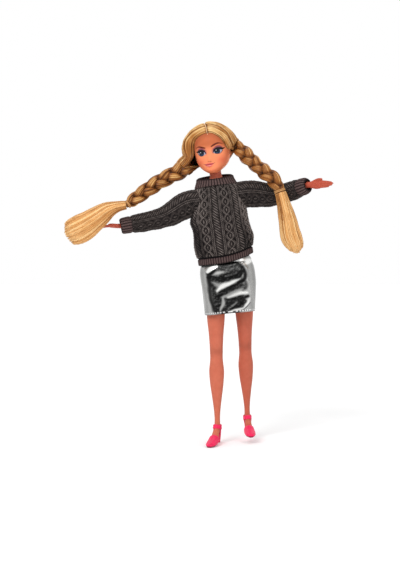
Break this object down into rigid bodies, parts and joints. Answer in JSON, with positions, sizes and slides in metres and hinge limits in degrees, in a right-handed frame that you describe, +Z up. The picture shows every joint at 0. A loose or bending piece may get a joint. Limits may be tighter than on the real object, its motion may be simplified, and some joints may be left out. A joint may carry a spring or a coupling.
{
  "type": "fashion doll",
  "caption": "Jointed fashion doll with two long plaits, knitted sweater, metallic mini skirt and high-heeled shoes, arms held out.",
  "frame": {"origin": "middle of the posed doll's bounding box in X and Y, at the level of its lowest shoe sole", "axes": "+Z up along the doll's height, the doll faces -Y, its own left side is towards +X"},
  "size_m": [0.2274, 0.0804, 0.2889],
  "materials": {
    "skin": "soft satin vinyl",
    "body_plastic": "hard moulded plastic",
    "joint_plastic": "hard moulded plastic",
    "steel": "drawn wire",
    "hair": "glossy synthetic fibre",
    "elastic": "matt elastic",
    "knit": "cable knit",
    "foil": "mirror-coated cloth",
    "tape": "hook-and-loop tape",
    "shoe_plastic": "glossy soft plastic"
  },
  "bodies": {
    "torso": {"torso_front": "body_plastic", "torso_back": "body_plastic", "sweater_body": "knit", "sweater_hem": "knit", "sweater_collar": "knit", "sweater_fastening": "tape", "skirt": "foil", "skirt_waistband": "tape", "skirt_fastening": "tape"},
    "neck": {"neck_post": "skin"},
    "head": {"head_shell": "skin", "hair_right": "hair", "hair_left": "hair", "root_band_right": "elastic", "root_band_left": "elastic", "plait_right": "hair", "plait_left": "hair", "tie_band_right": "elastic", "tie_band_left": "elastic", "tail_right": "hair", "tail_left": "hair"},
    "disc_right": {"shoulder_disc_right": "joint_plastic", "shoulder_pin_right": "steel"},
    "disc_left": {"shoulder_disc_left": "joint_plastic", "shoulder_pin_left": "steel"},
    "arm_right": {"arm_right": "skin", "sleeve_right": "knit", "cuff_right": "knit"},
    "arm_left": {"arm_left": "skin", "sleeve_left": "knit", "cuff_left": "knit"},
    "hip_bar": {"hip_bar": "steel"},
    "thigh_right": {"thigh_right": "skin", "thigh_rod_right": "joint_plastic"},
    "thigh_left": {"thigh_left": "skin", "thigh_rod_left": "joint_plastic"},
    "shin_right": {"shin_right": "skin", "shin_rod_right": "joint_plastic", "knee_pin_right": "steel", "shoe_right": "shoe_plastic"},
    "shin_left": {"shin_left": "skin", "shin_rod_left": "joint_plastic", "knee_pin_left": "steel", "shoe_left": "shoe_plastic"}
  },
  "joints": [
    {"name": "head_nod", "type": "hinge", "parent": "torso", "child": "neck", "pos_m": [0.01623, 0.01157, 0.2374], "axis": [0.9911, 0, 0.1333], "range_deg": [-12, 12]},
    {"name": "head_turn", "type": "hinge", "parent": "neck", "child": "head", "pos_m": [0.01623, 0.01157, 0.2374], "axis": [-0.1333, 0, 0.9911], "range_deg": [-58, 82], "deforming": ["plait_right", "plait_left", "tie_band_right", "tie_band_left", "tail_right", "tail_left"]},
    {"name": "shoulder_swing_right", "type": "hinge", "parent": "torso", "child": "disc_right", "pos_m": [-0.0019, 0.01157, 0.21842], "axis": [0.9911, 0, 0.1333], "range_deg": [-110, 110]},
    {"name": "shoulder_lift_right", "type": "hinge", "parent": "disc_right", "child": "arm_right", "pos_m": [-0.0019, 0.01157, 0.21842], "axis": [0, 1, 0], "range_deg": [-30, 35], "deforming": ["sleeve_right"]},
    {"name": "shoulder_swing_left", "type": "hinge", "parent": "torso", "child": "disc_left", "pos_m": [0.03873, 0.01157, 0.22388], "axis": [0.9911, 0, 0.1333], "range_deg": [-110, 110]},
    {"name": "shoulder_lift_left", "type": "hinge", "parent": "disc_left", "child": "arm_left", "pos_m": [0.03873, 0.01157, 0.22388], "axis": [0, -1, 0], "range_deg": [-42, 22], "deforming": ["sleeve_left"]},
    {"name": "sit", "type": "hinge", "parent": "torso", "child": "hip_bar", "pos_m": [0.02796, 0.01157, 0.15019], "axis": [-0.9911, 0, -0.1333], "range_deg": [-10, 80], "deforming": ["skirt", "skirt_fastening"]},
    {"name": "hip_swing_right", "type": "hinge", "parent": "hip_bar", "child": "thigh_right", "pos_m": [0.01547, 0.01157, 0.14851], "axis": [-0.9911, 0, -0.1333], "range_deg": [-12, 10]},
    {"name": "hip_swing_left", "type": "hinge", "parent": "hip_bar", "child": "thigh_left", "pos_m": [0.04045, 0.01157, 0.15187], "axis": [-0.9911, 0, -0.1333], "range_deg": [-2, 20]},
    {"name": "knee_right", "type": "hinge", "parent": "thigh_right", "child": "shin_right", "pos_m": [0.0164, 0.01157, 0.08252], "axis": [0.9999, 0, 0.014], "range_deg": [0, 65]},
    {"name": "knee_left", "type": "hinge", "parent": "thigh_left", "child": "shin_left", "pos_m": [0.04285, 0.02298, 0.08691], "axis": [0.9991, 0.0165, 0.0398], "range_deg": [0, 65]}
  ]
}
